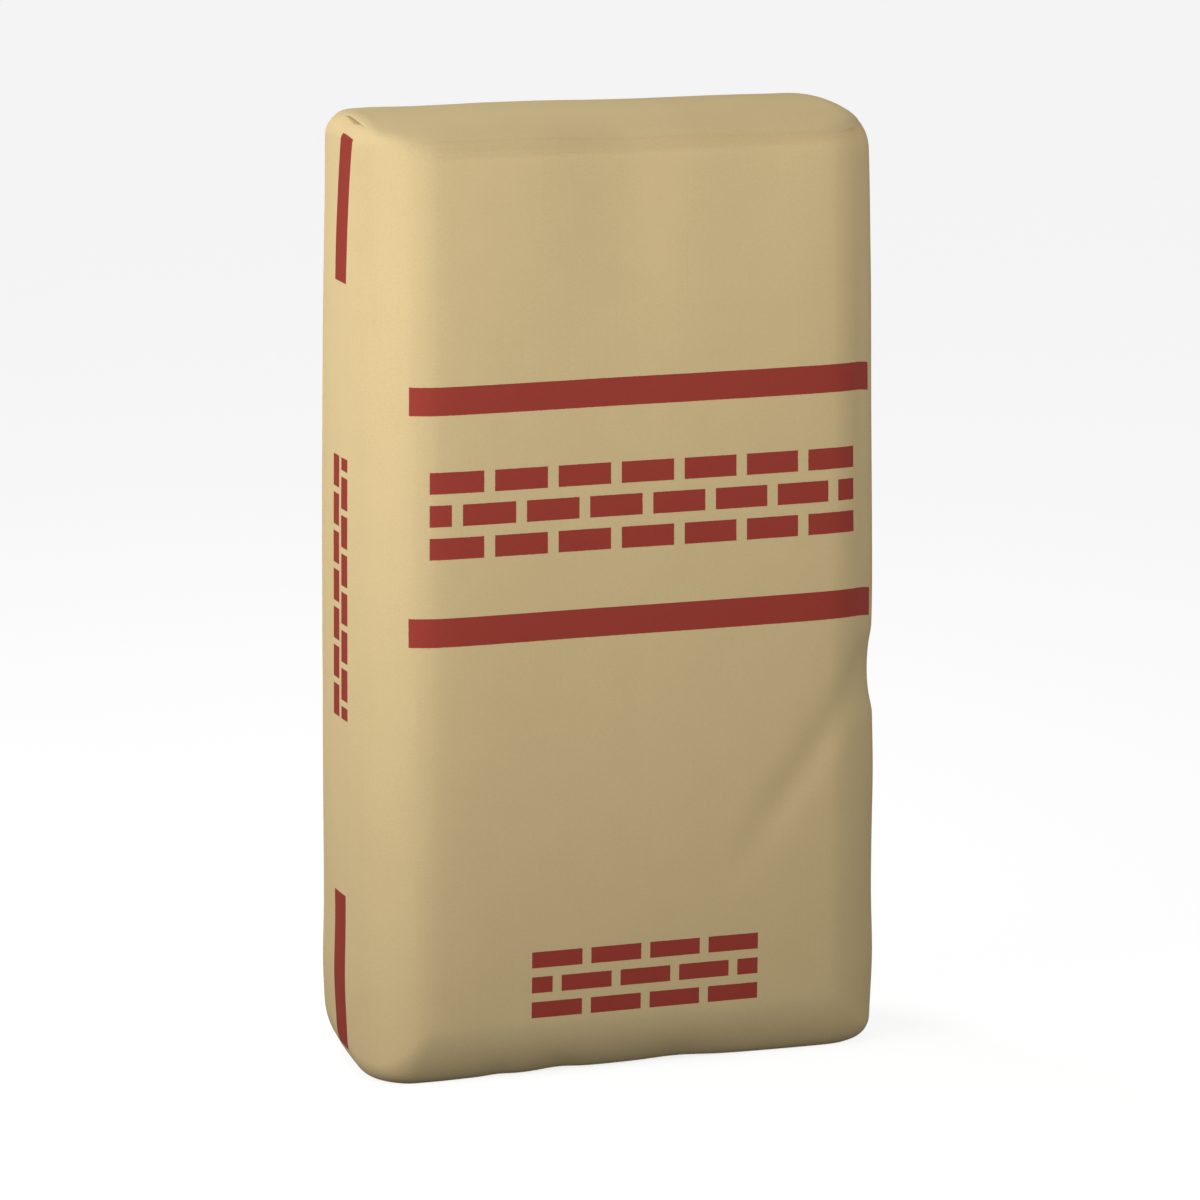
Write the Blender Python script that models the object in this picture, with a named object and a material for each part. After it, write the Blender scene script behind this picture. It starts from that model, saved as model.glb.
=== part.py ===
"""A filled paper sack of cement in the 25 kg size, standing on its lower end.

The sack is a pasted block-bottom valve sack. Its front faces -Y, its valve side
faces -X, and it stands on Z = 0 with the origin at the middle of its base.
Lengths are in metres and angles in degrees, unless a name says otherwise.
"""

import math
from dataclasses import dataclass

import bmesh
import bpy
from mathutils import Vector

# Overall size of the filled sack
WIDTH = 0.300
DEPTH = 0.130
HEIGHT = 0.518

# How far the filling pushes the walls out beyond a plain box
FACE_CROWN = 0.007
FACE_CROWN_POWER = 5
FACE_CROWN_AT_ENDS = 0.4
SIDE_CROWN = 0.004
SIDE_CROWN_POWER = 2
SIDE_CROWN_AT_ENDS = 0.6
CROWN_FADE_POWER = 4
UPRIGHT_EDGE_RADIUS = 0.034

# The sack narrows evenly towards its top, and a little more at its shoulders
TAPER = 0.018
SHOULDER_TAPER = 0.020
SHOULDER_POWER = 4

# The top is an arch that drops towards the front and back
TOP_ARCH = 0.010
ARCH_POWER = 2
ARCH_FADE_POWER = 8

# The shallow dent in the right front edge, left by handling
DENT_CENTRE = Vector((0.139, -0.050, 0.212))
DENT_RADIUS = 0.032
DENT_DEPTH = 0.004

# The sheets of paper pasted over the two folded ends
SHEET_THICKNESS = 0.0006
SHEET_GAP = 0.0004
SHEET_LAYER = SHEET_THICKNESS + SHEET_GAP
TOP_SHEET_EDGE_ANGLE = 45.0

# How finely the surfaces are divided
CORNER_STEPS = 6
FACE_STEPS = 10
SIDE_STEPS = 4
END_EDGE_STEPS = 6
WALL_STEPS = 16
END_FACE_SIZES = (0.1, 0.4, 0.7)

# Colours as linear RGB
KRAFT_BROWN = (0.532, 0.409, 0.218, 1.0)
SHEET_BROWN = (0.510, 0.400, 0.230, 1.0)
PAPER_ROUGHNESS = 0.8
SHARP_ANGLE = 40.0

BOX_HALF_WIDTH = WIDTH / 2 - SIDE_CROWN
BOX_HALF_DEPTH = DEPTH / 2 - FACE_CROWN


@dataclass(frozen=True)
class End:
    """One end of the sack: where it lies, which way it faces, and its edge radii at the corners."""

    level: float
    way: int
    edge_tallness: float
    front_left: float
    front_right: float
    back_right: float
    back_left: float

    def edge_radius(self, point):
        rightness = (1 + point.x / BOX_HALF_WIDTH) / 2
        backness = (1 + point.y / BOX_HALF_DEPTH) / 2
        front = self.front_left + (self.front_right - self.front_left) * rightness
        back = self.back_left + (self.back_right - self.back_left) * rightness
        return front + (back - front) * backness


TOP = End(HEIGHT - SHEET_LAYER, 1, 1.0, 0.010, 0.020, 0.036, 0.009)
BASE = End(SHEET_LAYER, -1, 1.1, 0.010, 0.012, 0.010, 0.027)


def rounded_rectangle():
    """The plain box seen from above: points round its outline, each with its outward direction."""
    corners = ((1, 1), (-1, 1), (-1, -1), (1, -1))
    reach = Vector((BOX_HALF_WIDTH - UPRIGHT_EDGE_RADIUS, BOX_HALF_DEPTH - UPRIGHT_EDGE_RADIUS))
    centres = [reach * Vector(corner) for corner in corners]
    points = []
    for quarter, centre in enumerate(centres):
        for step in range(CORNER_STEPS + 1):
            angle = math.radians(90 * (quarter + step / CORNER_STEPS))
            outward = Vector((math.cos(angle), math.sin(angle)))
            points.append((centre + outward * UPRIGHT_EDGE_RADIUS, outward))
        following = centres[(quarter + 1) % 4]
        steps = FACE_STEPS if quarter % 2 == 0 else SIDE_STEPS
        for step in range(1, steps):
            middle = centre.lerp(following, step / steps)
            points.append((middle + outward * UPRIGHT_EDGE_RADIUS, outward))
    return points


OUTLINE = rounded_rectangle()


def spine(point):
    """The nearest point of the end's middle line, which the rings on the end shrink to."""
    reach = BOX_HALF_WIDTH - BOX_HALF_DEPTH
    return Vector((max(-reach, min(reach, point.x)), 0))


def swell(x, y, z):
    """Where a point of the plain rounded box lies once the sack is filled."""
    across = min(1, abs(x) / BOX_HALF_WIDTH)
    along = min(1, abs(y) / BOX_HALF_DEPTH)
    height = z / HEIGHT
    swollen = 1 - abs(2 * height - 1) ** CROWN_FADE_POWER
    face_share = FACE_CROWN_AT_ENDS + (1 - FACE_CROWN_AT_ENDS) * swollen
    side_share = SIDE_CROWN_AT_ENDS + (1 - SIDE_CROWN_AT_ENDS) * swollen
    face_push = FACE_CROWN * face_share * (1 - across**FACE_CROWN_POWER)
    side_push = SIDE_CROWN * side_share * (1 - along**SIDE_CROWN_POWER)
    narrowing = 1 - TAPER * height - SHOULDER_TAPER * height**SHOULDER_POWER
    drop = TOP_ARCH * along**ARCH_POWER * height**ARCH_FADE_POWER
    filled = Vector(
        (
            x * (1 + side_push / BOX_HALF_WIDTH) * narrowing,
            y * (1 + face_push / BOX_HALF_DEPTH),
            z - drop,
        )
    )
    away = filled - DENT_CENTRE
    dent = DENT_DEPTH * math.exp(-away.length_squared / DENT_RADIUS**2)
    inward = Vector((-filled.x, -filled.y, 0)).normalized()
    return filled + inward * dent


def end_ring(end, angle, lift=0.0, size=1.0):
    """A ring where the end's rounded edge has this slope, lifted off it, and shrunk by size."""
    turn = math.radians(angle)
    ring = []
    for point, outward in OUTLINE:
        radius = end.edge_radius(point)
        tallness = radius * end.edge_tallness
        inset = radius - (radius + lift) * math.cos(turn)
        rise = (tallness + lift) * math.sin(turn) - tallness
        edge = point - outward * inset
        middle = spine(edge)
        flat = middle + (edge - middle) * size
        ring.append(swell(flat.x, flat.y, end.level + end.way * rise))
    return ring


def wall_ring(share):
    """A ring on the walls, at this share of the way from the base's edge to the top's."""
    ring = []
    for point, outward in OUTLINE:
        low = BASE.level + BASE.edge_radius(point) * BASE.edge_tallness
        high = TOP.level - TOP.edge_radius(point) * TOP.edge_tallness
        ring.append(swell(point.x, point.y, low + (high - low) * share))
    return ring


def end_rings(end, edge_angle, lift=0.0):
    """The rings of one end, from the middle of its face to this slope on its rounded edge."""
    rings = [end_ring(end, 90, lift, size) for size in END_FACE_SIZES]
    steps = round(END_EDGE_STEPS * (90 - edge_angle) / 90)
    for step in range(steps + 1):
        rings.append(end_ring(end, 90 - 90 * step / END_EDGE_STEPS, lift))
    return rings


def body_rings():
    """All rings of the sack, from the middle of its base to the middle of its top."""
    walls = [wall_ring(step / WALL_STEPS) for step in range(1, WALL_STEPS)]
    return end_rings(BASE, 0) + walls + end_rings(TOP, 0)[::-1]


def sheet_rings(end, edge_angle):
    """The rings of a thin sheet over one end: its outer face, then its inner face."""
    outer = end_rings(end, edge_angle, SHEET_LAYER)
    inner = end_rings(end, edge_angle, SHEET_GAP)
    return outer + inner[::-1]


def fill_across(work, loop):
    """Fill a ring with a strip of faces that run from its front half to its back half."""
    count = len(loop)
    first = -SIDE_STEPS // 2
    for here in range(first, first + count // 2):
        opposite = count - SIDE_STEPS - here
        corners = (loop[here], loop[here + 1], loop[opposite - 1], loop[opposite % count])
        work.faces.new(dict.fromkeys(corners))


def closed_mesh(name, rings):
    """Join the rings into one closed surface whose first and last rings are filled.

    Every face is split along its shorter diagonal, so that a sheet and the body
    under it are split alike and stay evenly apart.
    """
    work = bmesh.new()
    loops = [[work.verts.new(point) for point in ring] for ring in rings]
    fill_across(work, loops[0])
    fill_across(work, loops[-1])
    for lower, upper in zip(loops, loops[1:]):
        for here in range(len(lower)):
            after = (here + 1) % len(lower)
            work.faces.new((lower[here], lower[after], upper[after], upper[here]))
    bmesh.ops.recalc_face_normals(work, faces=work.faces)
    bmesh.ops.triangulate(work, faces=work.faces, quad_method="SHORT_EDGE")
    mesh = bpy.data.meshes.new(name)
    work.to_mesh(mesh)
    work.free()
    return mesh


def paper(name, colour):
    """Matt sack paper of this colour."""
    material = bpy.data.materials.new(name)
    material.use_nodes = True
    shader = material.node_tree.nodes["Principled BSDF"]
    shader.inputs["Base Color"].default_value = colour
    shader.inputs["Roughness"].default_value = PAPER_ROUGHNESS
    shader.inputs["Metallic"].default_value = 0.0
    return material


def add_piece(name, rings, material):
    """One named piece of the sack, shaded smooth over its round edges."""
    mesh = closed_mesh(name, rings)
    mesh.materials.append(material)
    mesh.shade_smooth()
    mesh.set_sharp_from_angle(angle=math.radians(SHARP_ANGLE))
    piece = bpy.data.objects.new(name, mesh)
    bpy.context.scene.collection.objects.link(piece)
    return piece


def build():
    for old in list(bpy.data.objects):
        bpy.data.objects.remove(old)
    top_sheet = sheet_rings(TOP, TOP_SHEET_EDGE_ANGLE)
    bottom_sheet = sheet_rings(BASE, 90)
    add_piece("sack_body", body_rings(), paper("kraft_paper", KRAFT_BROWN))
    add_piece("top_cover_sheet", top_sheet, paper("top_sheet_paper", SHEET_BROWN))
    add_piece("bottom_cover_sheet", bottom_sheet, paper("bottom_sheet_paper", SHEET_BROWN))


build()
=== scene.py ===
"""The looks of a filled paper sack of cement: its creased kraft paper, print and pasted end sheets.

The sack stands on Z = 0. Its printed front faces -Y and its valve side faces -X.
Lengths are in metres and angles in degrees, unless a name says otherwise.
"""

import math
from dataclasses import dataclass

import bpy
import numpy as np
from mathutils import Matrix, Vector


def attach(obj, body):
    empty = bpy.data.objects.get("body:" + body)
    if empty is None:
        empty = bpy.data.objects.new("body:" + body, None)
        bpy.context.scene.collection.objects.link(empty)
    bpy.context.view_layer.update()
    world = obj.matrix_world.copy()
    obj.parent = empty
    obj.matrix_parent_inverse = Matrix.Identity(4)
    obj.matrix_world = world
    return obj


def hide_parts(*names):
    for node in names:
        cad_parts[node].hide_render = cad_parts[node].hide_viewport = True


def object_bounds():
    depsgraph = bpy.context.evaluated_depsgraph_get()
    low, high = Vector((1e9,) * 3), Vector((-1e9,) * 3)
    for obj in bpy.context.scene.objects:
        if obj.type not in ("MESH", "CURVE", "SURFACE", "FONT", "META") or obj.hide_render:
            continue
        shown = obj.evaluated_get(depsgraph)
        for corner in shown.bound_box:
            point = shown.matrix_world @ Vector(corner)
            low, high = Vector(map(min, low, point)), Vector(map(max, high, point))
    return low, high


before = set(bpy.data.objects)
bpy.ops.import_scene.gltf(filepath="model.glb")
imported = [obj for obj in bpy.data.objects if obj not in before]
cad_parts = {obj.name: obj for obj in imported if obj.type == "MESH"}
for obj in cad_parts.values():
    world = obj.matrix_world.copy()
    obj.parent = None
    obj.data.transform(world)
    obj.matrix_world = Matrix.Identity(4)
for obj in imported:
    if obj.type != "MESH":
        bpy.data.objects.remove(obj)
CAD_LOW, CAD_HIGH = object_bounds()

# The plain box that the sack's paper was folded to, with the solids' own dimensions
HEIGHT = CAD_HIGH.z
BOX_HALF_WIDTH = 0.146
BOX_HALF_DEPTH = 0.058
UPRIGHT_EDGE_RADIUS = 0.034

# How far the filling pushes the walls out
FACE_CROWN = 0.007
FACE_CROWN_POWER = 5
FACE_CROWN_AT_ENDS = 0.4
SIDE_CROWN = 0.004
SIDE_CROWN_POWER = 2
SIDE_CROWN_AT_ENDS = 0.6
CROWN_FADE_POWER = 4
TAPER = 0.018
SHOULDER_TAPER = 0.020
SHOULDER_POWER = 4
TOP_ARCH = 0.010
ARCH_POWER = 2
ARCH_FADE_POWER = 8

# The end sheets. An edge angle is the slope of the rounded edge where a sheet ends
SHEET_THICKNESS = 0.00025
SHEET_GAP = 0.00004
SHEET_LAYER = SHEET_THICKNESS + SHEET_GAP
SHEET_EDGE_ANGLE_LEFT = 58.0
SHEET_EDGE_ANGLE_RIGHT = 42.0
SHEET_EDGE_TURN = (-0.05, 0.13)
BOTTOM_SHEET_EDGE_ANGLE = 80
SHEET_EDGE_ROWS = 8
SHARP_ANGLE = 50

# The paper's unevenness: its shortest and its longest wave, and its height
SLOW_WAVES = (0.07, 0.14)
SLOW_HEIGHT = 0.00012
QUICK_WAVES = (0.018, 0.05)
QUICK_HEIGHT = 0.00004

# The top is folded sharply along the front, and softly round the rest of it
FOLD_POWER = 4.5
SOFT_POWER = 2.0
FOLD_WIDENING = 0.5
FOLD_FADE = (0.128, 0.152)

# The foot is pressed to a slant along the front. Its focus is how fast that fades at the corners
FOOT_POWER = 1.7
FOOT_FOCUS = 6
FOOT_WIDENING_LEFT = 0.5
FOOT_WIDENING_RIGHT = 0.15

# The creased line a little below the fold along the front: its level at the left and right
FOLD_LINE_LEVELS = (0.5016, 0.4998)
FOLD_LINE_ENDS = (-0.118, 0.122)
FOLD_LINE_LEFT_FADE = (-0.128, -0.098)
FOLD_LINE_RIGHT_FADE = (0.132, 0.092)
FOLD_LINE_DEPTH = 0.0005
FOLD_LINE_HALF_WIDTH = 0.0009
FOLD_LINE_FRONT = (0.03, 0.045)

# The valve's mouth, where the top sheet lifts off the body at the left end
VALVE_MIDDLE = -0.007
VALVE_HALF_WIDTH = 0.009
VALVE_INSET = 0.006
VALVE_REACH = 0.014
VALVE_RISE = (0.012, 0.006)
VALVE_LIFT = 0.0017
VALVE_HOLLOW = 0.0020

# The right front corner of the top sheet, where its edge has come a little loose
LOOSE_CORNER = np.array((0.131, -0.046))
LOOSE_RADIUS = 0.011
LOOSE_RISE = (0.026, 0.012)
LOOSE_LIFT = 0.0008
LOOSE_HOLLOW = 0.0008

# The dent in the right front edge, and the hollow in it where the edge was gripped
DENT_CENTRE = np.array((0.139, -0.050, 0.210))
DENT_RADIUS = 0.030
DENT_DEPTH = 0.001
PINCH_PLACE = np.array((0.146, -0.040))
PINCH_LEVEL = 0.203
PINCH_DEPTH = 0.0027
PINCH_ABOVE = 0.0262
PINCH_BELOW = 0.0190
PINCH_SPREAD = 0.022

# Soft hills and hollows of the filling: the middle, the half sizes along x, y and z, the height
FRONT_FORMS = (
    ((-0.005, -0.062, 0.480), (0.031, 0.030, 0.078), -0.0036),
    ((0.066, -0.062, 0.480), (0.031, 0.030, 0.065), -0.0019),
    ((-0.094, -0.062, 0.225), (0.032, 0.030, 0.110), 0.0013),
    ((-0.094, -0.062, 0.400), (0.032, 0.030, 0.080), 0.0005),
    ((-0.1235, -0.0570, 0.300), (0.005, 0.030, 0.300), 0.0006),
    ((-0.1080, -0.0620, 0.300), (0.014, 0.030, 0.300), 0.0006),
    ((0.134, -0.051, 0.370), (0.012, 0.014, 0.180), -0.0026),
    ((0.147, -0.045, 0.152), (0.013, 0.014, 0.028), 0.0007),
)
REAR_FORMS = (
    ((0.030, 0.062, 0.370), (0.060, 0.030, 0.100), -0.0018),
    ((-0.065, 0.062, 0.150), (0.050, 0.030, 0.090), 0.0011),
    ((0.075, 0.062, 0.110), (0.040, 0.030, 0.070), -0.0009),
    ((0.149, 0.004, 0.345), (0.030, 0.034, 0.080), -0.0012),
)
TOP_FORMS = (
    ((-0.055, 0.030, 0.516), (0.080, 0.045, 0.030), 0.0015),
    ((-0.122, 0.030, 0.516), (0.018, 0.040, 0.030), 0.0009),
    ((0.060, 0.000, 0.516), (0.030, 0.030, 0.030), -0.0004),
)
BASE_FORMS = (
    ((0.000, -0.052, 0.000), (0.080, 0.040, 0.014), -0.0013),
    ((-0.040, -0.052, 0.000), (0.012, 0.030, 0.012), -0.0011),
    ((0.028, -0.052, 0.000), (0.018, 0.030, 0.012), -0.0011),
    ((-0.074, -0.052, 0.000), (0.008, 0.030, 0.012), -0.0006),
    ((-0.147, 0.010, 0.050), (0.030, 0.050, 0.024), 0.0012),
    ((0.147, -0.030, 0.045), (0.030, 0.040, 0.024), 0.0010),
)
SOFT_FORMS = FRONT_FORMS + REAR_FORMS + TOP_FORMS + BASE_FORMS

# The soft crease that runs from the dent down across the front: both ends as x and z
CREASE_TOP = np.array((0.127, 0.204))
CREASE_FOOT = np.array((0.073, 0.130))
CREASE_DEPTH = 0.0017
CREASE_HALF_WIDTH = 0.0105

# It fades past its ends, as shares of its length: above the top, and below the place where it starts
CREASE_FADE_ABOVE = 0.25
CREASE_FADE_START = 0.6
CREASE_FADE_BELOW = 0.5

# The pasted seam of the paper tube, down the back: the overlap's edge, and the ply's edge under it
SEAM_BACK = (0.02, 0.05)
SEAM_EDGE = 0.022
SEAM_STEP = 0.00030
SEAM_SOFTNESS = 0.0004
SEAM_FADE = (0.004, 0.06)
UNDER_EDGE = -0.016
UNDER_STEP = 0.00010
UNDER_SOFTNESS = 0.002
UNDER_FADE = (0.004, 0.03)

# The folded flaps under the pasted end sheets, as they show through
FLAP_HALF_DEPTH = 0.014
FLAP_STEP = 0.00016
FLAP_SOFTNESS = 0.0015
FLAP_FADE = (0.075, 0.110)

# Up to this height the sack's weight presses the paper flat
LEVEL_FOOT = 0.012

# How finely the surfaces are divided. The columns gather at the seam's edge: from how many steps
# away, and how strongly
COLUMN_STEP = 0.0021
SEAM_GATHER = 3
GATHER_POWER = 1.5
WALL_STEP = 0.0034
EDGE_STEPS = 32
BASE_EDGE_STEPS = 20
BODY_END_SIZES = (0.04, 0.3, 0.55, 0.75, 0.9)
SHEET_END_SIZES = tuple(share / 24 for share in range(1, 24))
LOWEST_LEVEL_RING = 0.056
HIGHEST_LEVEL_RING = 0.474
BLEND_STEPS = 6
CROWDED_AREA = 1e-6

# Colours as linear RGB
KRAFT_BROWN = (0.542, 0.417, 0.2185)
SHEET_BROWN = (0.520, 0.407, 0.215)
PRINT_RED = (0.251, 0.0350, 0.0240)
SIDE_PRINT_RED = (0.235, 0.0310, 0.0195)
FLOOR_GREY = (0.18, 0.18, 0.18)

# The marks in the paper, each a noise from 0 to 1: how it is stretched, its scale, detail and
# roughness, how far from 0.5 it still has an effect, and how much lighter or darker it makes the paper
MARKS = {
    "cloud": ((1, 1, 1), 45.0, 3.0, 0.5, 0.2, 0.02),
    "fibre": ((1, 0.22, 1), 2400.0, 3.0, 0.6, 0.3, 0.08),
    "fleck": ((0.5, 1, 1), 900.0, 2.0, 0.6, 0.25, 0.06),
    "rib": ((1, 0.012, 1), 900.0, 3.0, 0.7, 0.25, 0.025),
}
TONE_RANGE = 0.25

# The paper's surface: its roughness follows the flecks' noise, between these two values of each
ROUGH_FLECKS = (0.2, 0.8)
PAPER_ROUGHNESS = (0.78, 0.9)
PAPER_GLOSS = 0.06
BUMP_STRENGTH = 0.25
BUMP_HEIGHT = 0.0002

# The fold along the top of the front is painted this much darker than the paper round it, as painted
# shade.
# The painted shade grows in from its left and right ends, up the body's paper, and towards the front of a
# sheet
PAINTED_FOLD_SHADE = 0.11
FOLD_SHADE_LEFT = (-0.125, -0.095)
FOLD_SHADE_RIGHT = (0.138, 0.112)
BODY_FOLD_SHADE = (0.5078, 0.5102)
SHEET_FOLD_SHADE = (-0.020, -0.045)

# The print, as places on the unfolded paper: from the middle of the front, and from the base
BANDS = ((-0.1262, 0.1465, 0.3669, 0.3823), (-0.1262, 0.1465, 0.2424, 0.2580))
SIDE_STRIPES = ((-0.1914, -0.1722, 0.4308, 0.5090), (-0.1914, -0.1722, 0.0125, 0.0985))

# Brickwork: its place, where the courses run along the first axis, its courses, its bricks, its joint
FRONT_BRICKS = ((-0.116, 0.128, 0.2895, 0.3365), 3, 7, 0.006)
LOWER_BRICKS = ((-0.059, 0.070, 0.0345, 0.0715), 3, 4, 0.005)
SIDE_BRICKS = ((0.1955, 0.3375, -0.1914, -0.1672), 2, 7, 0.0035)

# The print drops a little where the front turns to the right, and leans near the top
PRINT_TURN = (0.112, 0.146)
PRINT_DROP = 0.0040
PRINT_LEAN_START = (0.445, 0.515)
PRINT_LEAN = 0.006

# The ink: where the side's denser ink starts, its soft and uneven edges, its smoothness, and how
# much lighter it is where it lies thin
SIDE_INK_START = (-0.150, -0.160)
INK_SOFTNESS = 0.0001
INK_EDGE_SCALE = 1500.0
INK_EDGE_NOISE = (0.3, 0.7)
INK_SMOOTHNESS = 0.12
THIN_INK = 1.2

# The camera
CAMERA_TARGET = Vector((0.0008, 0, 0.2475))
CAMERA_AZIMUTH = -18.5
CAMERA_ELEVATION = 12.1
CAMERA_DISTANCE = 3.28
CAMERA_LENS = 181.5
CAMERA_SENSOR = 36

# The lights: azimuth, elevation, distance, size and watts
LIGHTS = {
    "key": (-69, 16, 0.76, 0.54, 5.2),
    "fill": (16, 26, 1.16, 0.3, 6.4),
    "top": (-150, 56, 1.4, 0.4, 9.8),
}
LIGHT_TARGET = Vector((0, 0, 0.26))

# The floor and the sky
FLOOR_REACH = 15.0
FLOOR_ROUGHNESS = 0.9
FLOOR_GLOW = 0.84
SKY_ABOVE = 0.28
SKY_BELOW = 0.11
HORIZON = 0.1


@dataclass(frozen=True)
class End:
    """One end of the sack: where it lies, which way it faces, and its edge radii at the corners."""

    level: float
    way: int
    steps: int
    tallness: float
    left_tallness: float
    front_tallness: float
    back_power: float
    front_left: float
    front_right: float
    back_right: float
    back_left: float

    def edge_radius(self, x, y):
        rightness = (1 + x / BOX_HALF_WIDTH) / 2
        backness = np.clip((1 + y / BOX_HALF_DEPTH) / 2, 0, 1) ** self.back_power
        front = self.front_left + (self.front_right - self.front_left) * rightness
        back = self.back_left + (self.back_right - self.back_left) * rightness
        return front + (back - front) * backness

    def edge_tallness(self, out_x, out_y):
        leftness = np.clip(-out_x, 0, 1) ** 2
        frontness = np.clip(-out_y, 0, 1) ** FOOT_FOCUS
        left = (self.left_tallness - self.tallness) * leftness
        return self.tallness + left + (self.front_tallness - self.tallness) * frontness


TOP = End(
    level=HEIGHT - SHEET_LAYER, way=1, steps=EDGE_STEPS,
    tallness=1.0, left_tallness=1.0, front_tallness=1.0, back_power=1,
    front_left=0.0115, front_right=0.020, back_right=0.0345, back_left=0.012,
)
BASE = End(
    level=SHEET_LAYER, way=-1, steps=BASE_EDGE_STEPS,
    tallness=1.1, left_tallness=1.35, front_tallness=3.0, back_power=1.2,
    front_left=0.0072, front_right=0.0090, back_right=0.010, back_left=0.027,
)


class Outline:
    """The plain box seen from above, as columns of points placed by how far round they lie."""

    HALF_FRONT = BOX_HALF_WIDTH - UPRIGHT_EDGE_RADIUS
    HALF_SIDE = BOX_HALF_DEPTH - UPRIGHT_EDGE_RADIUS
    QUARTER = UPRIGHT_EDGE_RADIUS * math.pi / 2
    HALF_ROUND = 2 * HALF_FRONT + 2 * QUARTER + 2 * HALF_SIDE

    def __init__(self, step):
        count = 4 * round(self.HALF_ROUND / step / 2)
        self.place = (np.arange(count) / count * 2 - 1) * self.HALF_ROUND
        self.gather(self.HALF_ROUND - SEAM_EDGE, SEAM_GATHER * step)
        far = np.abs(self.place)
        mirror = np.where(self.place < 0, -1.0, 1.0)
        side_start = self.HALF_FRONT + self.QUARTER
        back_start = side_start + 2 * self.HALF_SIDE
        front_turn = np.clip((far - self.HALF_FRONT) / self.QUARTER, 0, 1)
        back_turn = np.clip((far - back_start) / self.QUARTER, 0, 1)
        turn = np.radians(90 * (front_turn + back_turn - 1))
        past_back = np.clip(far - back_start - self.QUARTER, 0, None)
        centre_x = np.minimum(far, self.HALF_FRONT) - past_back
        centre_y = np.clip(far - side_start - self.HALF_SIDE, -self.HALF_SIDE, self.HALF_SIDE)
        self.out_x = np.cos(turn) * mirror
        self.out_y = np.sin(turn)
        self.x = centre_x * mirror + self.out_x * UPRIGHT_EDGE_RADIUS
        self.y = centre_y + self.out_y * UPRIGHT_EDGE_RADIUS

    def gather(self, middle, reach):
        """Draw the columns near a place closer to it, so that a sharp step there stays sharp."""
        offset = self.place - middle
        near = np.abs(offset) < reach
        self.place[near] = middle + offset[near] * (np.abs(offset[near]) / reach) ** GATHER_POWER


def waves(points, shortest, longest, seed, stretch=(1, 1, 1), count=28):
    """Smooth unevenness of unit size at each point, made of waves that run in many directions."""
    draw = np.random.default_rng(seed)
    directions = draw.normal(size=(count, 3))
    directions /= np.linalg.norm(directions, axis=1, keepdims=True)
    lengths = draw.uniform(shortest, longest, (count, 1))
    phases = draw.uniform(0, 2 * math.pi, count)
    turns = 2 * math.pi * directions / lengths / np.array(stretch)
    return np.sin(points @ turns.T + phases).sum(-1) * math.sqrt(2 / count)


def hill(distance, half_width):
    """A smooth hill of height 1, by the distance from its middle."""
    return np.exp(-((distance / half_width) ** 2))


def swell(x, y, z):
    """Where points of the plain rounded box lie once the sack is filled."""
    across = np.minimum(1, np.abs(x) / BOX_HALF_WIDTH)
    along = np.minimum(1, np.abs(y) / BOX_HALF_DEPTH)
    height = z / HEIGHT
    swollen = 1 - np.abs(2 * height - 1) ** CROWN_FADE_POWER
    face_share = FACE_CROWN_AT_ENDS + (1 - FACE_CROWN_AT_ENDS) * swollen
    side_share = SIDE_CROWN_AT_ENDS + (1 - SIDE_CROWN_AT_ENDS) * swollen
    face_push = FACE_CROWN * face_share * (1 - across**FACE_CROWN_POWER)
    side_push = SIDE_CROWN * side_share * (1 - along**SIDE_CROWN_POWER)
    narrowing = 1 - TAPER * height - SHOULDER_TAPER * height**SHOULDER_POWER
    drop = TOP_ARCH * along**ARCH_POWER * height**ARCH_FADE_POWER
    filled = np.stack(
        (
            x * (1 + side_push / BOX_HALF_WIDTH) * narrowing,
            y * (1 + face_push / BOX_HALF_DEPTH),
            z - drop,
        ),
        axis=-1,
    )
    away = np.linalg.norm(filled - DENT_CENTRE, axis=-1)
    inward = filled * (-1, -1, 0)
    inward /= np.maximum(1e-6, np.linalg.norm(inward, axis=-1, keepdims=True))
    return filled + inward * (DENT_DEPTH * hill(away, DENT_RADIUS))[..., None]


def step_up(values, low, high):
    """A smooth step from 0 to 1 between two values; it falls where the first is the higher one."""
    share = np.clip((values - low) / (high - low), 0, 1)
    return share * share * (3 - 2 * share)


def front_crease(points):
    """The soft valley that runs from the dent down across the front."""
    run = CREASE_FOOT - CREASE_TOP
    length = np.linalg.norm(run)
    along = run / length
    offset = points[..., (0, 2)] - CREASE_TOP
    reach = offset @ along / length
    aside = offset @ (-along[1], along[0])
    above = hill(np.clip(reach, None, 0), CREASE_FADE_ABOVE)
    below = hill(np.clip(reach - CREASE_FADE_START, 0, None), CREASE_FADE_BELOW)
    fade = above * below
    on_front = np.clip(-points[..., 1] / BOX_HALF_DEPTH, 0, 1) ** 2
    return -CREASE_DEPTH * hill(aside, CREASE_HALF_WIDTH) * fade * on_front


def seam(points):
    """The pasted overlap down the back: a sharp edge, and the soft edge of the ply under it."""
    on_back = step_up(points[..., 1], *SEAM_BACK)
    x = points[..., 0]
    over = SEAM_STEP * step_up(x, SEAM_EDGE + SEAM_SOFTNESS, SEAM_EDGE - SEAM_SOFTNESS)
    over = over * step_up(x, SEAM_EDGE - SEAM_FADE[1], SEAM_EDGE - SEAM_FADE[0])
    under = UNDER_STEP * step_up(x, UNDER_EDGE - UNDER_SOFTNESS, UNDER_EDGE + UNDER_SOFTNESS)
    under = under * (1 - step_up(x, UNDER_EDGE + UNDER_FADE[0], UNDER_EDGE + UNDER_FADE[1]))
    return (over + under) * on_back


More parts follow.
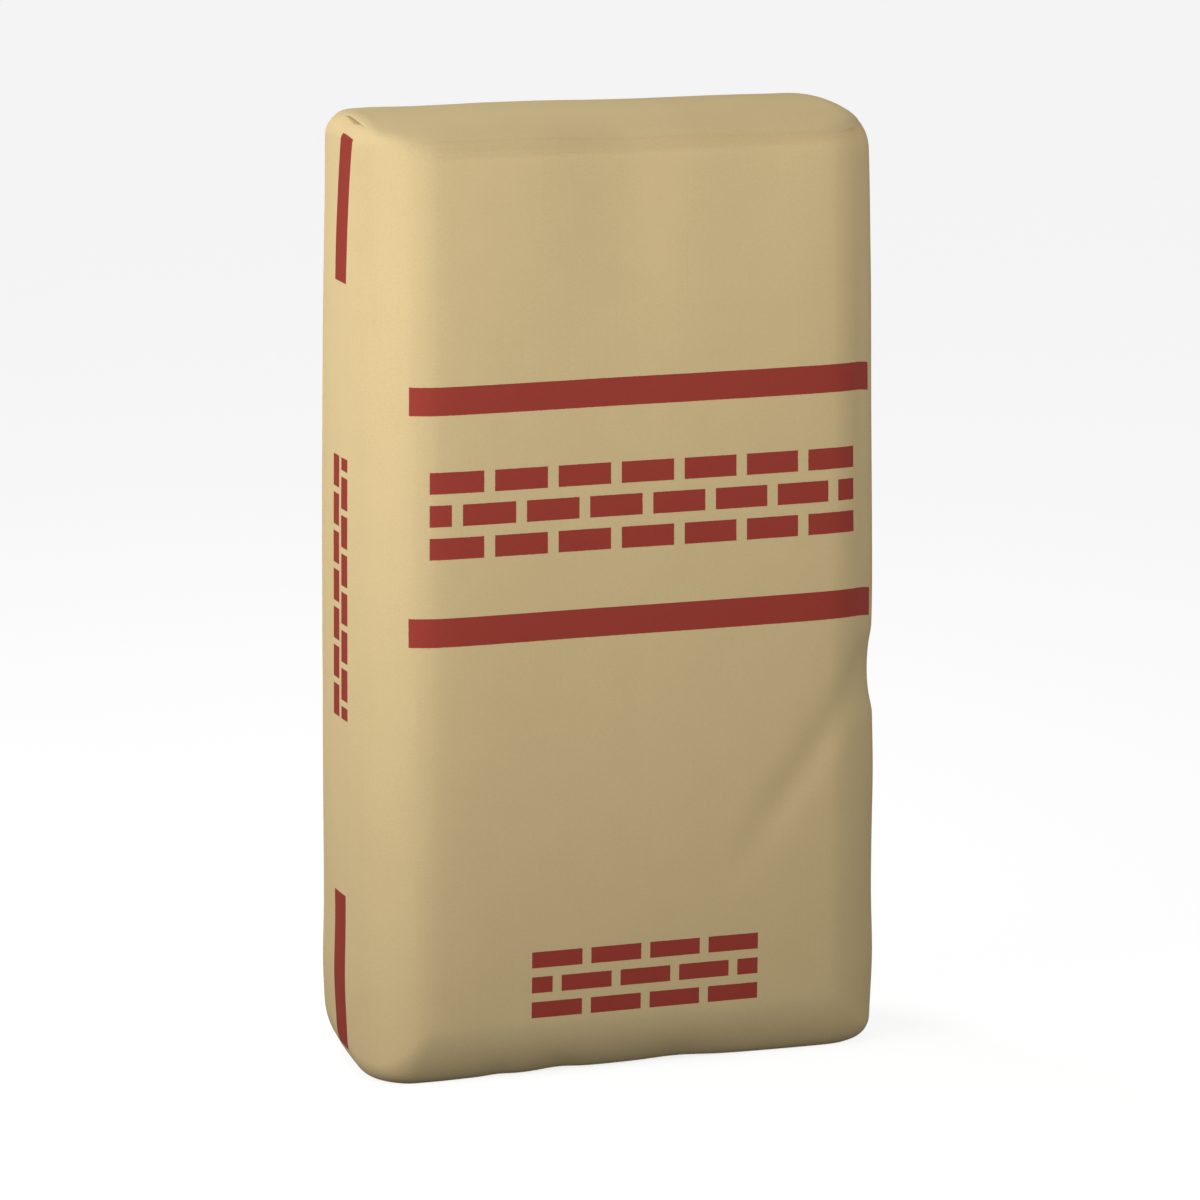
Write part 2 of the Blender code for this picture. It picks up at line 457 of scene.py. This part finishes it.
def pinch(points):
    """The hollow in the dent, where the right front edge was gripped; its ends are folded sharply."""
    aside = np.linalg.norm(points[..., :2] - PINCH_PLACE, axis=-1)
    above = points[..., 2] - PINCH_LEVEL
    reach = np.where(above > 0, PINCH_ABOVE, PINCH_BELOW)
    return -PINCH_DEPTH * hill(aside, PINCH_SPREAD) * np.clip(1 - (above / reach) ** 2, 0, 1)


def soft_forms(points):
    """The soft hills and hollows of the filling."""
    total = 0
    for middle, half_sizes, height in SOFT_FORMS:
        total = total + height * np.exp(-(((points - middle) / half_sizes) ** 2).sum(-1))
    return total


def fold_line(points):
    """The crease that runs along the front just below its upper fold."""
    x, z = points[..., 0], points[..., 2]
    share = step_up(x, *FOLD_LINE_ENDS)
    level = FOLD_LINE_LEVELS[0] + (FOLD_LINE_LEVELS[1] - FOLD_LINE_LEVELS[0]) * share
    ends = step_up(x, *FOLD_LINE_LEFT_FADE) * step_up(x, *FOLD_LINE_RIGHT_FADE)
    on_front = step_up(-points[..., 1], *FOLD_LINE_FRONT)
    return -FOLD_LINE_DEPTH * hill(z - level, FOLD_LINE_HALF_WIDTH) * ends * on_front


def relief(points):
    """How far the paper stands proud of the plain filled shape, or below it."""
    slow = waves(points, *SLOW_WAVES, seed=3, stretch=(1, 1, 3)) * SLOW_HEIGHT
    quick = waves(points, *QUICK_WAVES, seed=8, stretch=(1, 1, 2)) * QUICK_HEIGHT
    uneven = (slow + quick) * step_up(points[..., 2], 0, LEVEL_FOOT)
    handling = front_crease(points) + pinch(points)
    return uneven + handling + soft_forms(points) + fold_line(points) + seam(points)


def flaps(points):
    """Where the folded flaps of an end overlap under the sheet that is pasted over them."""
    inside = FLAP_HALF_DEPTH - np.abs(points[..., 1])
    overlap = step_up(inside, -FLAP_SOFTNESS, FLAP_SOFTNESS)
    return FLAP_STEP * overlap * (1 - step_up(np.abs(points[..., 0]), *FLAP_FADE))


def valve_share(points):
    """How near a point lies to the valve's mouth, from 0 to 1."""
    aside = hill(points[..., 1] - VALVE_MIDDLE, VALVE_HALF_WIDTH)
    inward = points[..., 0] + BOX_HALF_WIDTH
    high = step_up(points[..., 2], HEIGHT - VALVE_RISE[0], HEIGHT - VALVE_RISE[1])
    return aside * (1 - step_up(inward, VALVE_INSET, VALVE_INSET + VALVE_REACH)) * high


def loose_share(points):
    """How near a point lies to the loose corner of the top sheet, from 0 to 1."""
    away = np.linalg.norm(points[..., :2] - LOOSE_CORNER, axis=-1)
    high = step_up(points[..., 2], HEIGHT - LOOSE_RISE[0], HEIGHT - LOOSE_RISE[1])
    return hill(away, LOOSE_RADIUS) * high


def normals_of(grid):
    """The outward direction at each point of a grid of rings; upright where its columns crowd."""
    around = np.roll(grid, -1, axis=1) - np.roll(grid, 1, axis=1)
    across = np.cross(around, np.gradient(grid, axis=0))
    area = np.linalg.norm(across, axis=-1, keepdims=True)
    normals = across / np.maximum(1e-12, area)
    upright = np.where(grid[..., 2:] > HEIGHT / 2, 1, -1) * np.array((0, 0, 1))
    if (normals * upright).sum() < 0:
        normals = -normals
    trust = np.clip(area / CROWDED_AREA, 0, 1)
    mixed = normals * trust + upright * (1 - trust)
    return mixed / np.linalg.norm(mixed, axis=-1, keepdims=True)


def end_ring(outline, end, angle, lift=0.0, size=1.0):
    """A ring where the end's rounded edge has this slope, lifted off it, and shrunk by size."""
    turn = np.radians(angle)
    frontness = np.clip(-outline.out_y, 0, 1)
    if end.way > 0:
        folded = frontness * (1 - step_up(outline.x, *FOLD_FADE))
        widening = FOLD_WIDENING * folded
        power = SOFT_POWER + (FOLD_POWER - SOFT_POWER) * folded
    else:
        folded = frontness**FOOT_FOCUS
        rightness = (1 + outline.x / BOX_HALF_WIDTH) / 2
        more = (FOOT_WIDENING_RIGHT - FOOT_WIDENING_LEFT) * rightness
        widening = (FOOT_WIDENING_LEFT + more) * folded
        power = SOFT_POWER + (FOOT_POWER - SOFT_POWER) * folded
    radius = end.edge_radius(outline.x, outline.y) * (1 + widening)
    tallness = radius * end.edge_tallness(outline.out_x, outline.out_y)
    bend = 2 / power
    inset = radius * (1 - np.cos(turn) ** bend) - lift * np.cos(turn)
    rise = tallness * (np.sin(turn) ** bend - 1) + lift * np.sin(turn)
    x = outline.x - outline.out_x * inset
    y = outline.y - outline.out_y * inset
    spine = np.clip(x, BOX_HALF_DEPTH - BOX_HALF_WIDTH, BOX_HALF_WIDTH - BOX_HALF_DEPTH)
    return np.stack((spine + (x - spine) * size, y * size, end.level + end.way * rise), axis=-1)


def end_rings(outline, end, edge_angle, sizes, lift=0.0):
    """The rings of one end, from the middle of its face to this slope on its rounded edge."""
    rings = [end_ring(outline, end, 90, lift, size) for size in sizes]
    shares = np.arange(end.steps + 1) / end.steps
    return rings + [end_ring(outline, end, 90 + (edge_angle - 90) * share, lift) for share in shares]


def wall_rings(outline):
    """The rings of the walls: level ones, and some that turn level from the slanting edges."""
    count = math.ceil((HIGHEST_LEVEL_RING - LOWEST_LEVEL_RING) / WALL_STEP)
    levels = np.linspace(LOWEST_LEVEL_RING, HIGHEST_LEVEL_RING, count)
    low = end_ring(outline, BASE, 0)[:, 2]
    high = end_ring(outline, TOP, 0)[:, 2]
    shares = np.arange(1, BLEND_STEPS) / BLEND_STEPS
    heights = [low + (LOWEST_LEVEL_RING - low) * share for share in shares]
    heights += [np.full_like(low, level) for level in levels]
    heights += [HIGHEST_LEVEL_RING + (high - HIGHEST_LEVEL_RING) * share for share in shares]
    return [np.stack((outline.x, outline.y, height), axis=-1) for height in heights]


def body_grid(outline):
    base = end_rings(outline, BASE, 0, BODY_END_SIZES)
    top = end_rings(outline, TOP, 0, BODY_END_SIZES)
    return np.array(base + wall_rings(outline) + top[::-1])


def filled_grid(plain):
    """The plain grid after filling, with the relief of its paper."""
    filled = swell(plain[..., 0], plain[..., 1], plain[..., 2])
    hollows = VALVE_HOLLOW * valve_share(filled) + LOOSE_HOLLOW * loose_share(filled)
    rise = relief(filled) - hollows
    return filled + normals_of(filled) * rise[..., None]


def ring_faces(rings, columns):
    """The faces between neighbouring rings."""
    here = np.arange(columns)
    after = (here + 1) % columns
    faces = []
    for ring in range(rings - 1):
        low, high = ring * columns, (ring + 1) * columns
        faces.append(np.stack((low + here, low + after, high + after, high + here), axis=1))
    return np.concatenate(faces).tolist()


def cap_faces(ring, columns, flip):
    """The faces that close the first or last ring, as strips from front to back across it."""
    left = columns // 4
    faces = []
    for step in range(columns // 2):
        places = (left + step, left + step + 1, left - step - 1, left - step)
        corners = list(dict.fromkeys(ring * columns + place % columns for place in places))
        faces.append(corners[::-1] if flip else corners)
    return faces


def map_paper(mesh, flat):
    """Give each face its place on the unfolded paper, also where it lies across the paper's end."""
    corner_points = np.zeros(len(mesh.loops), int)
    mesh.loops.foreach_get("vertex_index", corner_points)
    places = flat.reshape(-1, 2)[corner_points]
    starts = np.zeros(len(mesh.polygons), int)
    totals = np.zeros(len(mesh.polygons), int)
    mesh.polygons.foreach_get("loop_start", starts)
    mesh.polygons.foreach_get("loop_total", totals)
    face_of_corner = np.repeat(np.arange(len(starts)), totals)
    widest = np.maximum.reduceat(places[:, 0], starts)[face_of_corner]
    across_end = widest - places[:, 0] > Outline.HALF_ROUND
    places[across_end, 0] += 2 * Outline.HALF_ROUND
    paper = mesh.uv_layers.new(name="paper")
    paper.data.foreach_set("uv", places.ravel())


def grid_mesh(name, grid, flat):
    """One closed surface of the grid's rings, with a map of the unfolded paper."""
    rings, columns = grid.shape[:2]
    faces = ring_faces(rings, columns)
    faces += cap_faces(0, columns, flip=True)
    faces += cap_faces(rings - 1, columns, flip=False)
    mesh = bpy.data.meshes.new(name)
    mesh.from_pydata(grid.reshape(-1, 3).tolist(), [], faces)
    map_paper(mesh, flat)
    mesh.shade_smooth()
    mesh.validate()
    return mesh


def add_piece(name, mesh, material, node):
    piece = bpy.data.objects.new(name, mesh)
    bpy.context.scene.collection.objects.link(piece)
    mesh.materials.append(material)
    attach(piece, "root")
    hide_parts(node)
    return piece


class Shader:
    """Builds one material: each method adds a node and gives its output."""

    # Where a Mix node has its two colours, and where it gives the mixed one
    MIX_LOW, MIX_HIGH, MIX_RESULT = 6, 7, 2

    def __init__(self, name):
        self.material = bpy.data.materials.new(name)
        self.material.use_nodes = True
        self.tree = self.material.node_tree
        self.surface = self.tree.nodes["Principled BSDF"]

    def feed(self, socket, value):
        if isinstance(value, bpy.types.NodeSocket):
            self.tree.links.new(value, socket)
        else:
            socket.default_value = value

    def node(self, kind, sockets, **settings):
        made = self.tree.nodes.new(kind)
        for name, value in settings.items():
            setattr(made, name, value)
        for name, value in sockets.items():
            self.feed(made.inputs[name], value)
        return made

    def math(self, operation, *values):
        made = self.tree.nodes.new("ShaderNodeMath")
        made.operation = operation
        for socket, value in zip(made.inputs, values):
            self.feed(socket, value)
        return made.outputs[0]

    def mix(self, share, low, high):
        sockets = {"Factor": share, self.MIX_LOW: low, self.MIX_HIGH: high}
        return self.node("ShaderNodeMix", sockets, data_type="RGBA").outputs[self.MIX_RESULT]

    def noise(self, place, scale, detail=2.0, roughness=0.5):
        sockets = {"Vector": place, "Scale": scale, "Detail": detail, "Roughness": roughness}
        return self.node("ShaderNodeTexNoise", sockets).outputs["Fac"]

    def ramp(self, value, low, high, to_low=0.0, to_high=1.0):
        sockets = {"Value": value, "From Min": low, "From Max": high, "To Min": to_low, "To Max": to_high}
        return self.node("ShaderNodeMapRange", sockets).outputs["Result"]

    def stretched(self, place, factors):
        made = self.node("ShaderNodeVectorMath", {0: place, 1: factors}, operation="MULTIPLY")
        return made.outputs["Vector"]


def box_depth(shader, u, v, box):
    """How far inside a rectangle of the paper a point lies; negative outside it."""
    left, right, low, high = box
    aside = shader.math("ABSOLUTE", shader.math("SUBTRACT", u, (left + right) / 2))
    above = shader.math("ABSOLUTE", shader.math("SUBTRACT", v, (low + high) / 2))
    across = shader.math("SUBTRACT", (right - left) / 2, aside)
    along = shader.math("SUBTRACT", (high - low) / 2, above)
    return shader.math("MINIMUM", across, along)


def brick_depth(shader, u, v, box, courses, length_count, joint):
    """How far inside a brick of a bonded wall a point lies; the courses run along u."""
    left, right, low, high = box
    course = (high - low + joint) / courses
    pitch = (right - left + joint) / length_count
    from_low = shader.math("SUBTRACT", v, low - joint / 2)
    number = shader.math("FLOOR", shader.math("DIVIDE", from_low, course))
    shift = shader.math("MULTIPLY", shader.math("FLOORED_MODULO", number, 2.0), pitch / 2)
    from_left = shader.math("ADD", shader.math("SUBTRACT", u, left - joint / 2), shift)
    in_pitch = shader.math("FLOORED_MODULO", from_left, pitch)
    in_course = shader.math("FLOORED_MODULO", from_low, course)
    aside = shader.math("ABSOLUTE", shader.math("SUBTRACT", in_pitch, pitch / 2))
    above = shader.math("ABSOLUTE", shader.math("SUBTRACT", in_course, course / 2))
    across = shader.math("SUBTRACT", (pitch - joint) / 2, aside)
    along = shader.math("SUBTRACT", (course - joint) / 2, above)
    brick = shader.math("MINIMUM", across, along)
    return shader.math("MINIMUM", brick, box_depth(shader, u, v, box))


def paper_marks(shader, place):
    """Each kind of mark by its name, and how much lighter or darker they all make the paper."""
    marks = {}
    shade = 0.0
    for kind, (stretch, scale, detail, roughness, half_range, tone) in MARKS.items():
        mark = shader.noise(shader.stretched(place, stretch), scale, detail, roughness)
        lighter = shader.ramp(mark, 0.5 - half_range, 0.5 + half_range, -tone, tone)
        shade = shader.math("ADD", shade, lighter)
        marks[kind] = mark
    return marks, shade


def painted_fold_shade(shader, u, v, growth):
    """How much painted shade darkens the paper at the fold; it grows between these two places along v."""
    from_left = shader.ramp(u, *FOLD_SHADE_LEFT, 0.0, PAINTED_FOLD_SHADE)
    from_right = shader.ramp(u, *FOLD_SHADE_RIGHT, 0.0, PAINTED_FOLD_SHADE)
    between = shader.math("MINIMUM", from_left, from_right)
    return shader.math("MULTIPLY", shader.ramp(v, *growth), between)


def print_depth(shader, u, v):
    """How far inside the print a point of the paper lies; negative outside it."""
    turn = shader.math("POWER", shader.ramp(u, *PRINT_TURN), 2.0)
    v = shader.math("ADD", v, shader.math("MULTIPLY", turn, PRINT_DROP))
    lean = shader.math("POWER", shader.ramp(v, *PRINT_LEAN_START), 2.0)
    u = shader.math("SUBTRACT", u, shader.math("MULTIPLY", lean, PRINT_LEAN))
    depths = [box_depth(shader, u, v, box) for box in BANDS + SIDE_STRIPES]
    depths.append(brick_depth(shader, u, v, *FRONT_BRICKS))
    depths.append(brick_depth(shader, u, v, *LOWER_BRICKS))
    depths.append(brick_depth(shader, v, u, *SIDE_BRICKS))
    deepest = depths[0]
    for depth in depths[1:]:
        deepest = shader.math("MAXIMUM", deepest, depth)
    return deepest


def print_colour(shader, u, fleck):
    """The red ink: a little uneven across the front, and denser on the side."""
    thin = tuple(value * THIN_INK for value in PRINT_RED) + (1,)
    front_ink = shader.mix(fleck, PRINT_RED + (1,), thin)
    return shader.mix(shader.ramp(u, *SIDE_INK_START), front_ink, SIDE_PRINT_RED + (1,))


def kraft_paper(name, tone, fold_growth, printed):
    """Kraft paper with its fibres and cloudy tone, painted shade along the front's top fold, and the red
    print where there is any.
    """
    shader = Shader(name)
    place = shader.node("ShaderNodeUVMap", {}, uv_map="paper").outputs["UV"]
    apart = shader.node("ShaderNodeSeparateXYZ", {"Vector": place})
    u, v = apart.outputs["X"], apart.outputs["Y"]
    marks, shade = paper_marks(shader, place)
    # Painted shade along the fold at the top of the front darkens the paper's tone
    shade = shader.math("SUBTRACT", shade, painted_fold_shade(shader, u, v, fold_growth))
    light = tuple(min(1, value * (1 + TONE_RANGE)) for value in tone) + (1,)
    dark = tuple(value * (1 - TONE_RANGE) for value in tone) + (1,)
    colour = shader.mix(shader.math("ADD", shade, 0.5), dark, light)
    roughness = shader.ramp(marks["fleck"], *ROUGH_FLECKS, *PAPER_ROUGHNESS)
    if printed:
        edge = (-INK_SOFTNESS, INK_SOFTNESS)
        uneven = shader.ramp(shader.noise(place, INK_EDGE_SCALE), *INK_EDGE_NOISE, *edge)
        inked = shader.ramp(shader.math("ADD", print_depth(shader, u, v), uneven), *edge)
        colour = shader.mix(inked, colour, print_colour(shader, u, marks["fleck"]))
        smoother = shader.math("MULTIPLY", inked, INK_SMOOTHNESS)
        roughness = shader.math("SUBTRACT", roughness, smoother)
    shader.feed(shader.surface.inputs["Base Color"], colour)
    shader.feed(shader.surface.inputs["Roughness"], roughness)
    threads = shader.math("ADD", marks["fibre"], marks["rib"])
    grain = shader.math("ADD", threads, marks["cloud"])
    sockets = {"Strength": BUMP_STRENGTH, "Distance": BUMP_HEIGHT, "Height": grain}
    bump = shader.node("ShaderNodeBump", sockets)
    shader.feed(shader.surface.inputs["Normal"], bump.outputs["Normal"])
    shader.surface.inputs["Specular IOR Level"].default_value = PAPER_GLOSS
    return shader.material


def sack_body():
    outline = Outline(COLUMN_STEP)
    plain = body_grid(outline)
    flat = np.empty(plain.shape[:2] + (2,))
    flat[..., 0] = outline.place
    flat[..., 1] = plain[..., 2]
    mesh = grid_mesh("sack_paper", filled_grid(plain), flat)
    paper = kraft_paper("kraft_paper", KRAFT_BROWN, BODY_FOLD_SHADE, printed=True)
    piece = add_piece("sack_paper", mesh, paper, "sack_body")


def sheet_edge_angle(outline):
    """The slope of the rounded edge where the top sheet ends, which is lower on the right."""
    share = step_up(outline.x, *SHEET_EDGE_TURN)
    return SHEET_EDGE_ANGLE_LEFT + (SHEET_EDGE_ANGLE_RIGHT - SHEET_EDGE_ANGLE_LEFT) * share


def cover_sheet(name, end, edge_angle, node, material):
    """A thin sheet pasted over one end: its outer face, then its inner face."""
    outline = Outline(COLUMN_STEP)
    outer = end_rings(outline, end, edge_angle, SHEET_END_SIZES, SHEET_LAYER)
    inner = end_rings(outline, end, edge_angle, SHEET_END_SIZES, SHEET_GAP)
    for row in range(1, SHEET_EDGE_ROWS):
        outer[-row] = inner[-row] + (outer[-row] - inner[-row]) * row / SHEET_EDGE_ROWS
    plain = np.array(outer + inner[::-1])
    filled = swell(plain[..., 0], plain[..., 1], plain[..., 2])
    half = len(outer)
    up = normals_of(filled[:half])
    both = np.concatenate((up, up[::-1]))
    marks = flaps(filled)
    if end.way < 0:
        marks[:half] -= FLAP_STEP
        marks[half:] = 0
    lifts = VALVE_LIFT * valve_share(filled) + LOOSE_LIFT * loose_share(filled)
    rise = relief(filled) + marks + lifts
    filled = filled + both * rise[..., None]
    filled[..., 2] = np.maximum(filled[..., 2], 0)
    if end.way > 0:
        filled = filled[::-1]
        plain = plain[::-1]
    mesh = grid_mesh(name, filled, plain[..., :2])
    mesh.set_sharp_from_angle(angle=math.radians(SHARP_ANGLE))
    return add_piece(name, mesh, material, node)


def place_round(thing, target, azimuth, elevation, distance):
    """Place a camera or light this way and this far from the target, and aim it there."""
    turn, rise = math.radians(azimuth), math.radians(elevation)
    level = math.cos(rise)
    away = Vector((math.sin(turn) * level, -math.cos(turn) * level, math.sin(rise)))
    thing.location = target + away * distance
    thing.rotation_euler = (-away).to_track_quat("-Z", "Y").to_euler()


def add_camera():
    """The photograph's viewing angle: from the front left, a little above, with a long lens."""
    data = bpy.data.cameras.new("camera")
    data.lens = CAMERA_LENS
    data.sensor_width = CAMERA_SENSOR
    camera = bpy.data.objects.new("camera", data)
    bpy.context.scene.collection.objects.link(camera)
    place_round(camera, CAMERA_TARGET, CAMERA_AZIMUTH, CAMERA_ELEVATION, CAMERA_DISTANCE)
    bpy.context.scene.camera = camera


def add_light(name, azimuth, elevation, distance, size, watts):
    """A square soft box at this direction and distance from the sack, unseen itself."""
    data = bpy.data.lights.new(name, "AREA")
    data.shape = "SQUARE"
    data.size = size
    data.energy = watts
    light = bpy.data.objects.new(name, data)
    bpy.context.scene.collection.objects.link(light)
    place_round(light, LIGHT_TARGET, azimuth, elevation, distance)
    light.visible_camera = False


def add_floor():
    """A large pale floor that stays bright all the way back."""
    mesh = bpy.data.meshes.new("floor")
    reach = FLOOR_REACH
    corners = [(-reach, -reach, 0), (reach, -reach, 0), (reach, reach, 0), (-reach, reach, 0)]
    mesh.from_pydata(corners, [], [(0, 1, 2, 3)])
    floor = bpy.data.objects.new("floor", mesh)
    bpy.context.scene.collection.objects.link(floor)
    floor.visible_diffuse = False
    shader = Shader("floor")
    shader.surface.inputs["Base Color"].default_value = FLOOR_GREY + (1,)
    shader.surface.inputs["Roughness"].default_value = FLOOR_ROUGHNESS
    shader.surface.inputs["Emission Color"].default_value = (1, 1, 1, 1)
    shader.surface.inputs["Emission Strength"].default_value = FLOOR_GLOW
    mesh.materials.append(shader.material)


def add_sky():
    """A soft white sky, darker below the horizon."""
    world = bpy.data.worlds.new("world")
    world.use_nodes = True
    tree = world.node_tree
    background = tree.nodes["Background"]
    direction = tree.nodes.new("ShaderNodeTexCoord").outputs["Generated"]
    apart = tree.nodes.new("ShaderNodeSeparateXYZ")
    tree.links.new(direction, apart.inputs["Vector"])
    above = tree.nodes.new("ShaderNodeMapRange")
    above.inputs["From Min"].default_value = -HORIZON
    above.inputs["From Max"].default_value = HORIZON
    above.inputs["To Min"].default_value = SKY_BELOW
    above.inputs["To Max"].default_value = SKY_ABOVE
    tree.links.new(apart.outputs["Z"], above.inputs["Value"])
    tree.links.new(above.outputs["Result"], background.inputs["Strength"])
    background.inputs["Color"].default_value = (1, 1, 1, 1)
    bpy.context.scene.world = world


sack_body()
sheet_paper = kraft_paper("cover_sheet_paper", SHEET_BROWN, SHEET_FOLD_SHADE, printed=False)
top_edge = sheet_edge_angle(Outline(COLUMN_STEP))
cover_sheet("top_sheet", TOP, top_edge, "top_cover_sheet", sheet_paper)
cover_sheet("bottom_sheet", BASE, BOTTOM_SHEET_EDGE_ANGLE, "bottom_cover_sheet", sheet_paper)
add_floor()
add_sky()
for light_name, settings in LIGHTS.items():
    add_light(light_name, *settings)
add_camera()
bpy.context.scene.view_settings.view_transform = "Standard"
